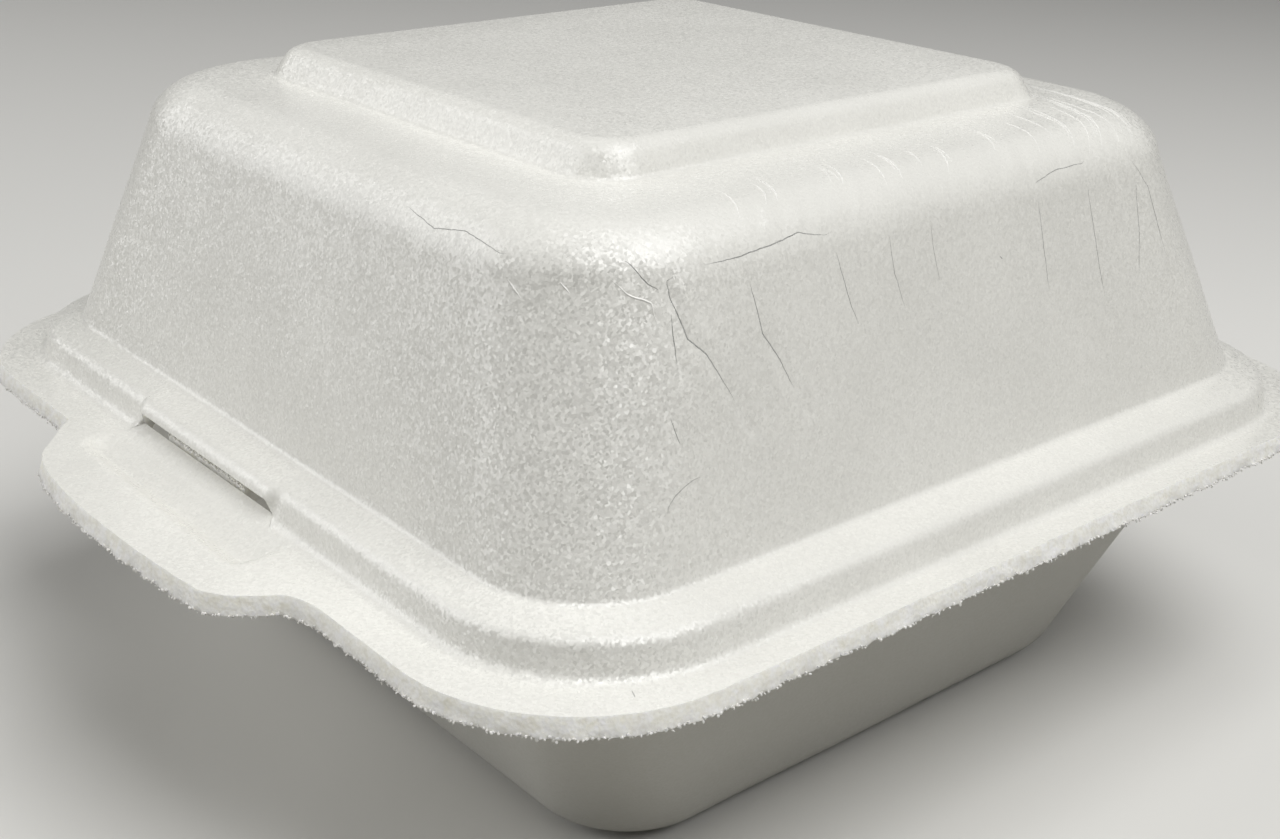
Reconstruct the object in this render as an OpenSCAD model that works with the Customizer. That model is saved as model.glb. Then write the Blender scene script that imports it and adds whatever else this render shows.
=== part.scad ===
// Foam clamshell food container, closed. A tray and a lid are formed from one foam sheet
// and stay joined by a hinge that is pressed along the back edge.
// The origin is on the tray's foot under the middle of the lid's flange, +Z is up and the finger tab
// is at the front, -Y.

/* [Overall] */
// Width over the lid's flange, left to right
flange_w = 144; // [124:1:170]
// Depth over the lid's flange, front to back, without the finger tab
flange_d = 147; // [127:1:173]
// Height of the tray from its foot to the lid's flange
tray_h = 40; // [28:0.5:56]
// Height of the lid from its flange to the top of its panel
lid_h = 46.5; // [34:0.5:64]
// Thickness of the foam sheet
sheet_t = 2.2; // [1.8:0.1:2.6]
// Clearance between the tray and the lid where they nest
nest_gap = 0.35; // [0.3:0.05:0.5]

/* [Lid rim] */
// Corner radius of the lid's flange in plan
flange_r = 22.6; // [18:0.2:27]
// Width of the flat flange outside the ridge, at the sides
flange_side = 4.1; // [3:0.1:6]
// Width of the flat flange outside the ridge, at the front and the back
flange_front = 5.6; // [4.5:0.1:7]
// Height of the ridge's outer edge above the flange
ridge_h = 4; // [3.2:0.1:5.5]
// Lean of the ridge's outer face
ridge_lean = 1.1; // [0.6:0.1:1.6]
// Width of the ridge's top
ridge_top_w = 5.2; // [4.4:0.1:7]
// Rise of the ridge's top towards the wall
ridge_rise = 1.3; // [0.6:0.1:1.8]
// Rounding of the ridge's outer edge
ridge_round = 1.8; // [0.8:0.1:2.2]

/* [Lid body] */
// Corner radius of the wall's foot in plan
wall_foot_r = 14.7; // [12:0.1:18]
// How far the wall leans in, from its foot to the shoulder
wall_lean = 10; // [5:0.5:14]
// Corner radius of the shoulder in plan
shoulder_plan_r = 19; // [15:0.5:23]
// Rounding of the shoulder
shoulder_round = 8; // [4:0.5:9]
// Width of the deck between the shoulder and the panel
deck_w = 14.6; // [11:0.2:20]
// Rise of the deck towards the panel
deck_rise = 0.8; // [0.3:0.1:1.5]
// Height of the raised panel above the deck
panel_h = 3.8; // [2.6:0.1:6]
// Lean of the panel's sides
panel_lean = 2.4; // [1.5:0.1:4]
// Corner radius of the panel's foot in plan
panel_r = 6; // [5:0.5:12]
// Rounding of the panel's top edge
panel_round = 1.7; // [1:0.1:2.8]
// How much deeper than wide the body is, on each side
body_deeper = 1.6; // [0:0.1:3]

/* [Tray] */
// Distance from the lid's ridge foot in to the tray's wall, at the lid's flange
tray_in = 6.7; // [6.2:0.1:8]
// How far the tray's wall leans in, from the lid's flange to the foot
tray_lean = 15.8; // [10:0.1:22]
// Corner radius of the tray's wall at the rim in plan
tray_rim_r = 15.5; // [12:0.5:19]
// Corner radius of the tray's wall at the foot in plan
tray_foot_r = 13; // [11:0.5:18]
// How much shallower than wide the foot is, on each side
foot_shallower = 0.6; // [0:0.1:2]
// How far the middle of the foot lies behind the middle of the rim
foot_back = 2.6; // [0:0.1:4]
// Rounding of the edge between the tray's wall and its foot
foot_round = 7.7; // [4:0.1:9]

/* [Finger tab and latch] */
// Width of the finger tab where it leaves the flange
tab_root_w = 59; // [50:1:70]
// Width of the finger tab at its outer corners
tab_tip_w = 47; // [40:1:56]
// How far the tab's outer corners stand out from the flange
tab_out = 7.7; // [5:0.1:11]
// How far the middle of the tab's outer edge bows out past its corners
tab_bow = 1.9; // [0.5:0.1:3]
// Rounding of the tab's outer corners
tab_corner_r = 4.5; // [2:0.5:6]
// Rounding where the tab meets the flange
tab_root_r = 3; // [1.5:0.5:4]
// Middle of the latch, left or right of the tab's middle
latch_x = -3; // [-6:0.5:6]
// Width of the shallow pocket in the tab
pocket_w = 43; // [38:1:46]
// How far the pocket reaches out past the flange's front edge
pocket_out = 0.6; // [0:0.1:2]
// Depth of the pocket
pocket_depth = 1.5; // [0.8:0.1:1.8]
// Rounding of the pocket's outer corners
pocket_r = 4.5; // [2:0.5:5]
// Width of the slot in the ridge
slot_w = 34; // [32:1:37]
// Width of the hood that the ridge forms over the slot
hood_w = 32; // [28:1:33]
// How far the hood stands out from the ridge
hood_out = 1; // [0.6:0.1:1.3]
// Width of the tray's tongue in the slot
tongue_w = 21; // [18:0.5:26]

/* [Hinge] */
// Length of the hinge along the back edge
hinge_w = 88; // [70:1:90]
// Thickness of the pressed web
web_t = 0.9; // [0.6:0.1:1.2]
// Gap between the flanges' cut edges and the hinge's axis
hinge_edge_gap = 0.3; // [0.2:0.05:0.5]

/* [Hidden] */
// Steps in each plan corner and in each rounded edge
corner_steps = 10;
edge_steps = 5;
foam_white = [0.88, 0.88, 0.86];
foam_shade = [0.80, 0.80, 0.78];
foam_web = [0.74, 0.74, 0.72];
// Shares of the sheet's thickness: overlaps, the pocket's wall, the slot's sill and formed corners
bite_share = 0.25;
bite_small_share = 0.05;
pan_wall_share = 0.7;
sill_share = 0.2;
crisp_share = 0.5;
tight_share = 0.33;
// Lengths that cutters and hidden overlaps run past a surface
past = sheet_t;
bite = sheet_t * bite_share;
bite_small = sheet_t * bite_small_share;
// Roundings that the sheet takes in tight and in crisp formed corners
tight_round = sheet_t * tight_share;
crisp_round = sheet_t * crisp_share;

// Half widths of the lid, from its flange in to its panel
flange_half = flange_w / 2;
flange_half_d = flange_d / 2;
ridge_foot_half = flange_half - flange_side;
ridge_top_half = ridge_foot_half - ridge_lean;
wall_foot_half = ridge_top_half - ridge_top_w;
shoulder_half = wall_foot_half - wall_lean;
panel_foot_half = shoulder_half - deck_w;
panel_top_half = panel_foot_half - panel_lean;

// Heights of the lid above its flange's underside
ridge_top_z = sheet_t + ridge_h;
wall_foot_z = ridge_top_z + ridge_rise;
deck_z = lid_h - panel_h;
shoulder_z = deck_z - deck_rise;

// How much deeper than wide each line of the lid is
flange_deeper = flange_half_d - flange_half;
ridge_deeper = flange_half_d - flange_front - ridge_foot_half;
wall_deeper = (ridge_deeper + body_deeper) / 2;

// The rim of the tray nests under the ridge, one sheet and one gap below it
ridge_slope = ridge_rise / ridge_top_w;
rim_drop = (sheet_t + nest_gap + sheet_t) * sqrt(1 + ridge_slope * ridge_slope);
rim_half = ridge_top_half - sheet_t * (1 + ridge_slope);
rim_z = ridge_top_z - rim_drop + (ridge_top_half - rim_half) * ridge_slope;
tray_half = ridge_foot_half - tray_in;
tray_slope = tray_lean / tray_h;
tray_top_z = (rim_z + (rim_half - tray_half) * ridge_slope) / (1 + tray_slope * ridge_slope);
tray_top_half = tray_half + tray_top_z * tray_slope;
foot_half = tray_half - tray_lean;
rim_plan_r = flange_r - (flange_half - rim_half) / 2;
rim_thick_z = sheet_t * sqrt(1 + ridge_slope * ridge_slope);

// Front faces of the ridge and of what goes through it
riser_slope = ridge_lean / ridge_h;
riser_thick = sheet_t * sqrt(1 + riser_slope * riser_slope);
ridge_foot_y = ridge_foot_half + ridge_deeper;
ridge_top_y = ridge_top_half + ridge_deeper;
rim_y = rim_half + ridge_deeper;
slot_out_y = ridge_foot_y - sheet_t * sill_share;
slot_roof_z = ridge_top_z - sheet_t + bite_small;
tongue_y = slot_out_y - nest_gap - bite_small;
tongue_top_z = slot_roof_z - nest_gap;
pocket_y = flange_half_d + pocket_out;
pocket_floor_z = sheet_t - pocket_depth;
pan_wall = sheet_t * pan_wall_share;

// The hinge's axis lies between the two flanges, just behind their cut edges
flange_gap = nest_gap;
hinge_y = flange_half_d + hinge_edge_gap;
hinge_z = tray_h - flange_gap / 2;
web_r = sheet_t + flange_gap / 2;

function unit(v) = v / norm(v);
function turned(v, angle) = [v.x * cos(angle) - v.y * sin(angle), v.x * sin(angle) + v.y * cos(angle)];
function side(v) = [-v.y, v.x];
function mix(a, b, share) = a + (b - a) * share;
function before(p, i) = i > 0 ? unit(p[i] - p[i - 1]) : unit(p[1] - p[0]);
function after(p, i) = i < len(p) - 1 ? unit(p[i + 1] - p[i]) : before(p, i);
function bend(a, b) = atan2(a.x * b.y - a.y * b.x, a * b);
function tangent(p, i, r) = r * abs(tan(bend(before(p, i), after(p, i)) / 2));

// A path moved sideways by the sheet's thickness, with mitred corners
function moved(p, d) = [
    for (i = [0 : len(p) - 1])
        let (a = before(p, i), b = after(p, i))
        p[i] + d * (side(a) + side(b)) / (1 + a * b)
];

// One corner of a path as points along its rounding
function rounded_corner(p, i, r) =
    let (
        a = before(p, i),
        b = after(p, i),
        angle = bend(a, b),
        way = angle < 0 ? -1 : 1,
        centre = p[i] - a * tangent(p, i, r) + way * r * side(a)
    )
    r <= 0 ? [p[i]] : [
        for (k = [0 : edge_steps])
            centre - way * r * side(turned(a, angle * k / edge_steps))
    ];

// What rides along a path, at the points of one rounded corner
function carried_corner(p, with, i, r) =
    let (
        t = tangent(p, i, r),
        from = mix(with[i], with[i - 1], t / norm(p[i] - p[i - 1])),
        to = mix(with[i], with[i + 1], t / norm(p[i + 1] - p[i]))
    )
    [for (k = [0 : edge_steps]) mix(from, to, k / edge_steps)];

function rounded(p, r) = [for (i = [0 : len(p) - 1]) each rounded_corner(p, i, r[i])];
function carried(p, with, r) = [
    for (i = [0 : len(p) - 1]) each r[i] > 0 ? carried_corner(p, with, i, r[i]) : [with[i]]
];

// The points of a rounded rectangle: half width, half depth, corner radius, height and shift to the back
function ring(half, half_d, r, z, back) = [
    for (q = [0 : 3], k = [0 : corner_steps])
        let (
            angle = 90 * (q + k / corner_steps),
            x_way = q == 0 || q == 3 ? 1 : -1,
            y_way = q < 2 ? 1 : -1
        )
        [x_way * (half - r) + r * cos(angle), y_way * (half_d - r) + r * sin(angle) + back, z]
];

// Rings along a skin. A path point is half width and height, and carries plan radius, extra depth and
// shift to the back.
function skin(p, with, r, z) =
    let (at = rounded(p, r), has = carried(p, with, r))
    [
        for (i = [0 : len(at) - 1])
            ring(at[i].x, at[i].x + has[i].y, has[i].x, at[i].y + z, has[i].z)
    ];

// The inner side's plan radii keep the outer side's corner centres
function inner_with(p, q, with) = [
    for (i = [0 : len(p) - 1])
        [with[i].x - p[i].x + q[i].x, with[i].y, with[i].z]
];

// A closed sheet between two skins that start at the same cut edge
module sheet(outer, inner, flip) {
    n = len(outer[0]);
    loops = concat([for (i = [len(outer) - 1 : -1 : 0]) outer[i]], inner);
    last = len(loops) - 1;
    points = [for (loop = loops) each loop];
    walls = [
        for (i = [0 : last - 1], k = [0 : n - 1])
            let (
                a = i * n + k,
                b = i * n + (k + 1) % n,
                c = a + n,
                d = b + n
            )
            each flip ? [[a, c, b], [b, c, d]] : [[a, b, c], [b, d, c]]
    ];
    first_cap = [for (k = [0 : n - 1]) flip ? k : n - 1 - k];
    last_cap = [for (k = [0 : n - 1]) last * n + (flip ? n - 1 - k : k)];
    polyhedron(points = points, faces = concat([first_cap, last_cap], walls));
}

module lid_shell() {
    path = [
        [flange_half, sheet_t],
        [ridge_foot_half, sheet_t],
        [ridge_top_half, ridge_top_z],
        [wall_foot_half, wall_foot_z],
        [shoulder_half, shoulder_z],
        [panel_foot_half, deck_z],
        [panel_top_half, lid_h],
        [panel_top_half / 2, lid_h]
    ];
    with = [
        [flange_r, flange_deeper, 0],
        [flange_r - flange_side / 2, ridge_deeper, 0],
        [flange_r - flange_side / 2 - ridge_lean, ridge_deeper, 0],
        [wall_foot_r, wall_deeper, 0],
        [shoulder_plan_r, body_deeper, 0],
        [panel_r, body_deeper, 0],
        [panel_r - panel_lean / 2, body_deeper, 0],
        [panel_r / 2, body_deeper / 2, 0]
    ];
    outer_round = [0, crisp_round, ridge_round, crisp_round, shoulder_round, crisp_round, panel_round, 0];
    inner_round = [
        0,
        ridge_round / 2,
        tight_round,
        crisp_round,
        shoulder_round - crisp_round,
        crisp_round,
        tight_round,
        0
    ];
    inside = moved(path, sheet_t);
    sheet(
        skin(path, with, outer_round, tray_h),
        skin(inside, inner_with(path, inside, with), inner_round, tray_h),
        false
    );
}

// The tab's outline at the front edge, from left root to right root
function tab_outline() =
    let (
        y = -flange_half_d,
        p = [
            [-tab_root_w / 2 - tab_out, y + flange_front / 2],
            [-tab_root_w / 2 - tab_out, y],
            [-tab_root_w / 2, y],
            [-tab_tip_w / 2, y - tab_out],
            [0, y - tab_out - tab_bow],
            [tab_tip_w / 2, y - tab_out],
            [tab_root_w / 2, y],
            [tab_root_w / 2 + tab_out, y],
            [tab_root_w / 2 + tab_out, y + flange_front / 2]
        ],
        r = [0, 0, tab_root_r, tab_corner_r, tab_tip_w, tab_corner_r, tab_root_r, 0, 0]
    )
    rounded(p, r);

// A rectangle with rounded outer corners in plan, from the ridge out to the front
function pocket_outline(w, y_in, y_out, r) =
    rounded([[-w / 2, -y_in], [-w / 2, -y_out], [w / 2, -y_out], [w / 2, -y_in]], [0, r, r, 0]);

module tab_plate() {
    translate([0, 0, tray_h])
        linear_extrude(sheet_t)
        polygon(tab_outline());
}

module pocket_pan() {
    translate([latch_x, 0, tray_h - pocket_depth])
        linear_extrude(pocket_depth + bite)
        polygon(pocket_outline(
            pocket_w + 2 * pan_wall,
            ridge_foot_y - riser_thick,
            pocket_y + pan_wall,
            pocket_r + pan_wall
        ));
}

module pocket_cavity() {
    translate([latch_x, 0, tray_h + pocket_floor_z])
        linear_extrude(pocket_depth + past)
        polygon(pocket_outline(pocket_w, ridge_foot_y - bite_small, pocket_y, pocket_r));
}

module hood() {
    y = ridge_top_y + hood_out;
    roof_in = hood_out + ridge_round;
    profile = [
        [-y + roof_in, slot_roof_z - bite_small],
        [-y, slot_roof_z - bite_small],
        [-y, ridge_top_z - ridge_round / 2],
        [-y + roof_in / 2, ridge_top_z + bite_small],
        [-y + roof_in, ridge_top_z + bite_small]
    ];
    translate([latch_x - hood_w / 2, 0, tray_h])
        rotate([90, 0, 90])
        linear_extrude(hood_w)
        polygon(rounded(profile, [0, 0, hood_out / 2, hood_out / 2, 0]));
}

module slot_cut() {
    translate([latch_x - slot_w / 2, -slot_out_y, tray_h - pocket_depth - past])
        cube([slot_w, slot_out_y - rim_y + sheet_t, pocket_depth + past + slot_roof_z]);
}

module lid() {
    color(foam_white)
        difference() {
            union() {
                lid_shell();
                tab_plate();
                pocket_pan();
                hood();
            }
            pocket_cavity();
            slot_cut();
        }
}

module tray_shell() {
    path = [
        [rim_half, rim_z],
        [tray_top_half, tray_top_z],
        [foot_half, -tray_h],
        [foot_half / 2, -tray_h]
    ];
    with = [
        [rim_plan_r, ridge_deeper, 0],
        [tray_rim_r, ridge_deeper, 0],
        [tray_foot_r, -foot_shallower, foot_back],
        [tray_foot_r / 2, -foot_shallower / 2, foot_back]
    ];
    inside = moved(path, -sheet_t);
    sheet(
        skin(path, with, [0, crisp_round, foot_round, 0], tray_h),
        skin(
            inside,
            inner_with(path, inside, with),
            [0, crisp_round * 2, foot_round - crisp_round, 0],
            tray_h
        ),
        true
    );
}

// The rim reaches out at the front into the lid's slot
module tongue() {
    y_in = rim_y - sheet_t;
    translate([latch_x - tongue_w / 2, -tongue_y, tray_h + rim_z + bite])
        cube([tongue_w, tongue_y - y_in, tongue_top_z - rim_z - bite]);
}

// The rim steps down at the back to a flange under the lid's flange, out to the hinge
module hinge_flange() {
    riser_y = ridge_foot_y + sheet_t * riser_slope - riser_thick - nest_gap - bite_small;
    top_z = rim_z + rim_thick_z - bite_small;
    low_z = -flange_gap - sheet_t;
    knee_y = riser_y + flange_gap * riser_slope;
    profile = [
        [rim_y - sheet_t, top_z],
        [riser_y - top_z * riser_slope, top_z],
        [knee_y, -flange_gap],
        [flange_half_d, -flange_gap],
        [flange_half_d, low_z],
        [knee_y - riser_thick, low_z],
        [rim_y - sheet_t, rim_z + bite]
    ];
    translate([-hinge_w / 2, 0, tray_h])
        rotate([90, 0, 90])
        linear_extrude(hinge_w)
        polygon(profile);
}

module tray() {
    color(foam_shade)
        union() {
            tray_shell();
            tongue();
            hinge_flange();
        }
}

// The pressed web runs from one flange's edge round the hinge's axis to the other's
module living_hinge() {
    color(foam_web)
        translate([-hinge_w / 2, hinge_y, hinge_z])
        rotate([90, 0, 90])
        linear_extrude(hinge_w)
        difference() {
            union() {
                circle(r = web_r, $fn = 64);
                translate([-hinge_edge_gap, -web_r])
                    square([hinge_edge_gap, 2 * web_r]);
            }
            circle(r = web_r - web_t, $fn = 64);
            translate([-hinge_edge_gap, web_t - web_r])
                square([hinge_edge_gap, 2 * (web_r - web_t)]);
            translate([-hinge_edge_gap - 2 * web_r, -2 * web_r])
                square([2 * web_r, 4 * web_r]);
        }
}

tray();
lid();
living_hinge();
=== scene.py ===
"""Looks of a closed foam clamshell food container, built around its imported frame.

The tray and the lid are one formed sheet of white polystyrene foam. Each is lofted from a profile
through the sheet, carried round a rounded square, and then gets what forming, cutting and use gave it:
the finger tab with its pocket, the latch slot, the creases and the torn cut edge.
Lengths in this file are millimetres unless a name says otherwise. A section's heights count from the joint
between tray and lid, and all other heights from the foot.
"""

from __future__ import annotations

import logging
import math
from collections.abc import Iterator
from contextlib import contextmanager
from dataclasses import dataclass, field
from enum import Enum

import bmesh
import bpy
import numpy as np
from mathutils import Matrix, Vector, noise

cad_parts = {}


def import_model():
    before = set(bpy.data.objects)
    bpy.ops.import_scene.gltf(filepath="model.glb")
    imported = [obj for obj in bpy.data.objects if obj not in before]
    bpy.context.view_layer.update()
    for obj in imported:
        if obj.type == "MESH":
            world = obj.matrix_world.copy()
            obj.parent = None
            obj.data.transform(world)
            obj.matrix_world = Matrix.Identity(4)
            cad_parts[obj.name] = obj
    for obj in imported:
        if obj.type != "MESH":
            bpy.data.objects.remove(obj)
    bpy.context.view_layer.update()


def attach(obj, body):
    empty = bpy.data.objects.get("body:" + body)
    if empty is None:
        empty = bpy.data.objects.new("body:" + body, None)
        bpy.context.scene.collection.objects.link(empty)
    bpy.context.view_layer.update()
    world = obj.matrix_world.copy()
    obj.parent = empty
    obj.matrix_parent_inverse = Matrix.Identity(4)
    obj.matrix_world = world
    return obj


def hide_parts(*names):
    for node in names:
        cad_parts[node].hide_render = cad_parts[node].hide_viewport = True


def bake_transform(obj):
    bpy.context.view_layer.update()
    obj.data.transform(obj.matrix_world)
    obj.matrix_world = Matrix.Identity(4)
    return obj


LOG = logging.getLogger("foam_clamshell")
MM = 0.001
SHEET = 2.2
JOINT_Z = 40.0
WELD = 1e-5
FACING_FRONT = -0.999


class Side(Enum):
    """A creased side of the lid, by the way that it faces."""

    FRONT = (0.0, -1.0)
    RIGHT = (1.0, 0.0)


def linear(hex_colour: str) -> tuple[float, float, float, float]:
    """Turns an sRGB hex colour into linear values.

    Args:
        hex_colour: Six hex digits.

    Returns:
        Linear red, green and blue, and an alpha of one.
    """
    values = [int(hex_colour[i : i + 2], 16) / 255 for i in (0, 2, 4)]
    red, green, blue = (v / 12.92 if v <= 0.04045 else ((v + 0.055) / 1.055) ** 2.4 for v in values)
    return red, green, blue, 1.0


def smooth(low: float, high: float, value: np.ndarray) -> np.ndarray:
    """Rises smoothly from 0 at low to 1 at high."""
    t = np.clip((np.asarray(value, float) - low) / (high - low), 0, 1)
    return t * t * (3 - 2 * t)


def grain(points: np.ndarray, size: float, seed: float) -> np.ndarray:
    """Gives smooth noise from -1 to 1 at points in space.

    Args:
        points: Positions in millimetres, one row each.
        size: The noise's grain in millimetres.
        seed: Shifts the pattern.

    Returns:
        One value for each point.
    """
    shift = Vector((seed * 13.7, seed * 5.1, seed * 9.3))
    return np.array([noise.noise(Vector(p) / size + shift) for p in points.tolist()])


def add_piece(name: str, mesh: bpy.types.Mesh) -> bpy.types.Object:
    """Puts a mesh into the scene, at the origin.

    Args:
        name: The piece's name.
        mesh: The finished mesh.

    Returns:
        The piece's object.
    """
    made = bpy.data.objects.new(name, mesh)
    bpy.context.scene.collection.objects.link(made)
    return made


@contextmanager
def reworked(mesh: bpy.types.Mesh) -> Iterator[bmesh.types.BMesh]:
    """Opens a mesh of closed bodies to editing, and then turns its faces outwards.

    Args:
        mesh: The mesh, which is changed in place.

    Yields:
        The mesh's editable copy.
    """
    work = bmesh.new()
    work.from_mesh(mesh)
    yield work
    bmesh.ops.recalc_face_normals(work, faces=work.faces)
    if work.calc_volume(signed=True) < 0:
        bmesh.ops.reverse_faces(work, faces=work.faces)
    work.to_mesh(mesh)
    work.free()


class Nodes:
    """A node tree while it is built."""

    def __init__(self, tree: bpy.types.NodeTree) -> None:
        """Starts with an empty tree."""
        tree.nodes.clear()
        self.tree = tree

    def add(
        self, kind: str, inputs: dict[int | str, object] | None = None, out: int | str = 0, **settings: object
    ) -> bpy.types.NodeSocket | None:
        """Adds a node with its settings, and links or sets its inputs.

        Args:
            kind: The node's type name.
            inputs: Socket name or index to a value, or to another node's output socket.
            out: Name or index of the output that is wanted.
            **settings: The node's own properties.

        Returns:
            That output, or None from a node that has none.
        """
        made = self.tree.nodes.new(kind)
        for name, value in settings.items():
            setattr(made, name, value)
        for key, value in (inputs or {}).items():
            if isinstance(value, bpy.types.NodeSocket):
                self.tree.links.new(value, made.inputs[key])
            else:
                made.inputs[key].default_value = value
        return made.outputs[out] if len(made.outputs) else None


class Form:
    """A Geometry Nodes tree with named inputs, which makes a piece's shape from a simple mesh."""

    def __init__(self, name: str, inputs: dict[str, str]) -> None:
        """Starts the tree.

        Args:
            name: The tree's name.
            inputs: Each input's name and kind of socket: first the simple mesh, and last the material Foam.
        """
        self.tree = bpy.data.node_groups.new(name, "GeometryNodeTree")
        face = self.tree.interface
        self.keys = {
            key: face.new_socket(key, in_out="INPUT", socket_type="NodeSocket" + kind).identifier
            for key, kind in inputs.items()
        }
        face.new_socket("Shape", in_out="OUTPUT", socket_type="NodeSocketGeometry")
        self.nodes = Nodes(self.tree)
        self.given = self.nodes.add("NodeGroupInput").node.outputs

    def close(self, shape: bpy.types.NodeSocket) -> None:
        """Ends the tree: makes the shape real and sets its material.

        Args:
            shape: The output that holds the finished shape.
        """
        real = self.nodes.add("GeometryNodeRealizeInstances", {"Geometry": shape})
        dressed = self.nodes.add("GeometryNodeSetMaterial", {"Geometry": real, "Material": self.given["Foam"]})
        self.nodes.add("NodeGroupOutput", {"Shape": dressed})

    def run(self, mesh: bpy.types.Mesh, **values: object) -> bpy.types.Mesh:
        """Runs the tree.

        Args:
            mesh: The simple mesh.
            **values: The other inputs, by name.

        Returns:
            The shape as a plain mesh, which nothing else uses.
        """
        source = add_piece(mesh.name, mesh)
        modifier = source.modifiers.new(self.tree.name, "NODES")
        modifier.node_group = self.tree
        for name, value in values.items():
            modifier[self.keys[name]] = value
        bpy.context.view_layer.update()
        made = bpy.data.meshes.new_from_object(source.evaluated_get(bpy.context.evaluated_depsgraph_get()))
        bpy.data.objects.remove(source)
        return made


def new_material(name: str) -> tuple[bpy.types.Material, Nodes]:
    """Starts a material.

    Args:
        name: The finish's name.

    Returns:
        The material, and its tree, which is empty.
    """
    made = bpy.data.materials.new(name)
    made.use_nodes = True
    return made, Nodes(made.node_tree)


@dataclass(frozen=True)
class FoamSkin:
    """Extruded polystyrene foam sheet, hot formed: a thin closed skin over fine cells.

    The eye sees a warm white with a satin sheen, and a fine grain of cells with small sparkles. The grain is
    strongest at the corners, where forming stretched the sheet most. Real cells are about 0.3 mm wide, and the
    sheet's tint drifts over about 14 mm.
    """

    name: str
    colour: str
    shade: str
    roughness: float
    lean: float
    glint: float
    cell_mm: float = 0.3
    cloud_mm: float = 14.0
    even_mm: float = 20.0
    corner_mm: float = 52.0
    ior: float = 1.59

    def material(self) -> bpy.types.Material:
        """Builds the material.

        Returns:
            The material.
        """
        made, nodes = new_material(self.name)
        add = nodes.add
        where = add("ShaderNodeTexCoord", out="Object")
        cell = add("ShaderNodeTexVoronoi", {"Vector": where, "Scale": 1 / (self.cell_mm * MM)}, "Color")
        cloud = add("ShaderNodeTexNoise", {"Vector": where, "Scale": 1 / (self.cloud_mm * MM), "Detail": 1.0}, "Fac")
        blotch = add("ShaderNodeMath", {0: cell, 1: cloud}, operation="ADD")
        mottle = add("ShaderNodeMapRange", {"Value": blotch, "From Min": 0.6, "From Max": 1.4})
        tones = {"Factor": mottle, "A": linear(self.shade), "B": linear(self.colour)}
        tint = add("ShaderNodeMix", tones, "Result", data_type="RGBA")
        # Some cells' caps are smoother than others
        gloss = {"Value": cell, "To Min": self.roughness + self.glint, "To Max": self.roughness - self.glint}
        speck = add("ShaderNodeMapRange", gloss)
        # Each cell's cap leans its own way, more so towards the corners
        part = add("ShaderNodeSeparateXYZ", {"Vector": where}).node.outputs
        across, deep = (add("ShaderNodeMath", {0: part[axis]}, operation="ABSOLUTE") for axis in "XY")
        corner = add("ShaderNodeMath", {0: across, 1: deep}, operation="MINIMUM")
        reach = {"Value": corner, "From Min": self.even_mm * MM, "From Max": self.corner_mm * MM}
        strength = add("ShaderNodeMapRange", reach | {"To Min": 0.5 * self.lean, "To Max": self.lean})
        cap = add("ShaderNodeVectorMath", {0: cell, 1: (0.5, 0.5, 0.5)}, operation="SUBTRACT")
        tilt = add("ShaderNodeVectorMath", {0: cap, "Scale": strength}, operation="SCALE")
        face = add("ShaderNodeNewGeometry", out="Normal")
        turned = add("ShaderNodeVectorMath", {0: face, 1: tilt}, operation="ADD")
        normal = add("ShaderNodeVectorMath", {0: turned}, operation="NORMALIZE")
        look = {"Base Color": tint, "Roughness": speck, "Normal": normal, "IOR": self.ior}
        add("ShaderNodeOutputMaterial", {"Surface": add("ShaderNodeBsdfPrincipled", look)})
        return made


@dataclass(frozen=True)
class CutFoam:
    """The die-cut and torn edge of the foam sheet: open cells, matt, warmer than the skin, lit from within.

    Cut cells are about 0.5 mm wide, and the light spreads about 1.5 mm into the foam. Its pits are painted darker, as
    painted shade.
    """

    name: str
    colour: str
    pit_shade_colour: str
    cell_mm: float = 0.5
    pit_mm: float = 1.1
    bump_mm: float = 0.12
    glow_mm: float = 1.5

    def material(self) -> bpy.types.Material:
        """Builds the material.

        Returns:
            The material.
        """
        made, nodes = new_material(self.name)
        add = nodes.add
        where = add("ShaderNodeTexCoord", out="Object")
        cells = add("ShaderNodeTexVoronoi", {"Vector": where, "Scale": 1 / (self.cell_mm * MM)}, "Distance")
        torn = {"Vector": where, "Scale": 1 / (self.pit_mm * MM), "Detail": 4.0, "Roughness": 0.7}
        rough = add("ShaderNodeTexNoise", torn, "Fac")
        # The pits, where the bump sinks, are painted darker, as painted shade
        pit_shade = add("ShaderNodeMapRange", {"Value": rough, "From Min": 0.38, "From Max": 0.62})
        tones = {"Factor": pit_shade, "A": linear(self.pit_shade_colour), "B": linear(self.colour)}
        tint = add("ShaderNodeMix", tones, "Result", data_type="RGBA")
        height = add("ShaderNodeMath", {0: rough, 1: cells}, operation="ADD")
        bump = add("ShaderNodeBump", {"Height": height, "Strength": 0.5, "Distance": self.bump_mm * MM})
        look = {
            "Base Color": tint,
            "Roughness": 0.75,
            "IOR": 1.45,
            "Normal": bump,
            "Subsurface Weight": 0.6,
            "Subsurface Radius": (1.0, 1.0, 0.9),
            "Subsurface Scale": self.glow_mm * MM,
        }
        add("ShaderNodeOutputMaterial", {"Surface": add("ShaderNodeBsdfPrincipled", look)})
        return made


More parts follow.
